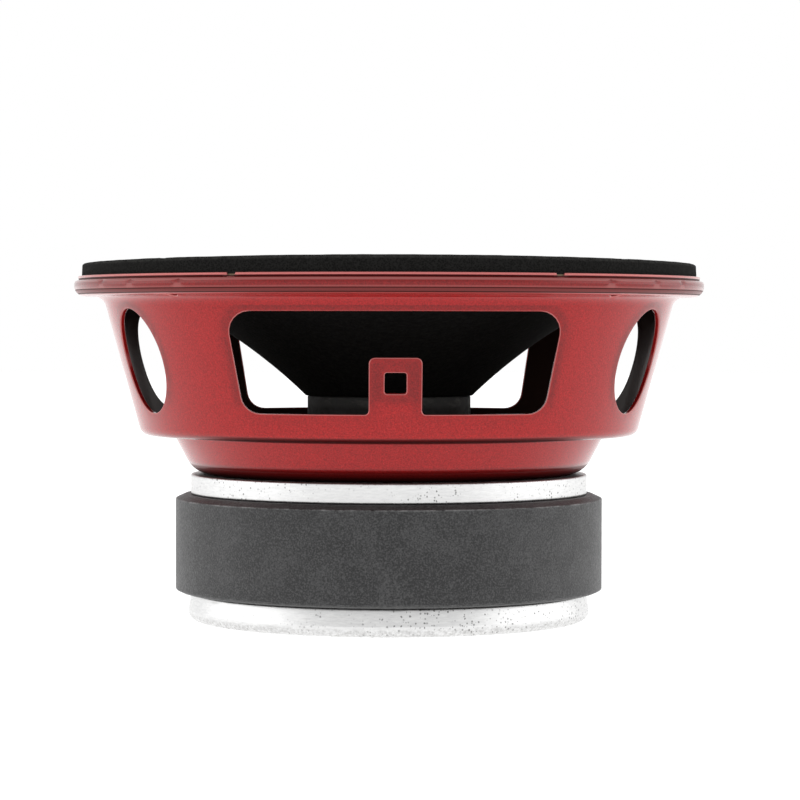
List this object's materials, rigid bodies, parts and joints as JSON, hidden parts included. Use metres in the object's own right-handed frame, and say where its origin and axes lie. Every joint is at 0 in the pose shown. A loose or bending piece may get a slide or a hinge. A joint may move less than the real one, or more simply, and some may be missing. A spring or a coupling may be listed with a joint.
{
  "type": "car subwoofer speaker",
  "caption": "Round car bass driver with a pressed steel basket, paper cone, half-roll surround, spider, sprung voice coil and a ring magnet motor.",
  "frame": {"origin": "centre of the back plate's rear face, which the driver rests on", "axes": "+Z along the driver's axis, from the motor to the cone's mouth; -Y towards the middle of the large window without terminals"},
  "size_m": [0.166, 0.166, 0.0945],
  "materials": {
    "red_paint": "metallic red lacquer over pressed steel",
    "foam": "fine-celled closed foam",
    "fibreboard": "grey fibreboard",
    "surround_rubber": "matt black rubber",
    "spider_cloth": "resin-stiffened woven cloth",
    "cone_paper": "black pressed paper pulp",
    "cap_paper": "black pressed paper, slightly smoother",
    "collar_paper": "adhesive-soaked dark paper",
    "former_paper": "varnished kraft former",
    "copper": "enamelled copper",
    "brass_trim": "plated brass",
    "zinc": "bright zinc plate with a fine grain",
    "ferrite": "bare grey ferrite, mottled",
    "black_steel": "black painted steel",
    "phenolic": "black phenolic board",
    "nylon": "black nylon",
    "solder": "solder",
    "tinsel": "copper tinsel braided over cotton"
  },
  "bodies": {
    "frame": {"basket": "red_paint", "mounting_gasket": "foam", "spacer_ring": "fibreboard", "surround": "surround_rubber", "spider": "spider_cloth", "top_plate": "zinc", "magnet": "ferrite", "t_yoke": "zinc", "shorting_cap": "copper", "vent_mesh": "black_steel", "basket_rivets": "zinc", "terminal_board": "phenolic", "board_clip": "nylon", "terminal_positive": "brass_trim", "terminal_negative": "brass_trim", "terminal_rivets": "zinc", "lead_solder": "solder", "tinsel_lead_positive": "tinsel", "tinsel_lead_negative": "tinsel"},
    "moving_assembly": {"cone": "cone_paper", "dust_cap": "cap_paper", "neck_collar": "collar_paper", "coil_former": "former_paper", "voice_coil": "copper", "coil_leadouts": "copper", "lead_eyelets": "brass_trim"}
  },
  "joints": [
    {"name": "cone_travel", "type": "slide", "parent": "frame", "child": "moving_assembly", "axis": [0, 0, 1], "range_m": [-0.005, 0.005], "stiffness_N_per_m": 1500, "deforming": ["surround", "spider", "tinsel_lead_positive", "tinsel_lead_negative"]}
  ]
}
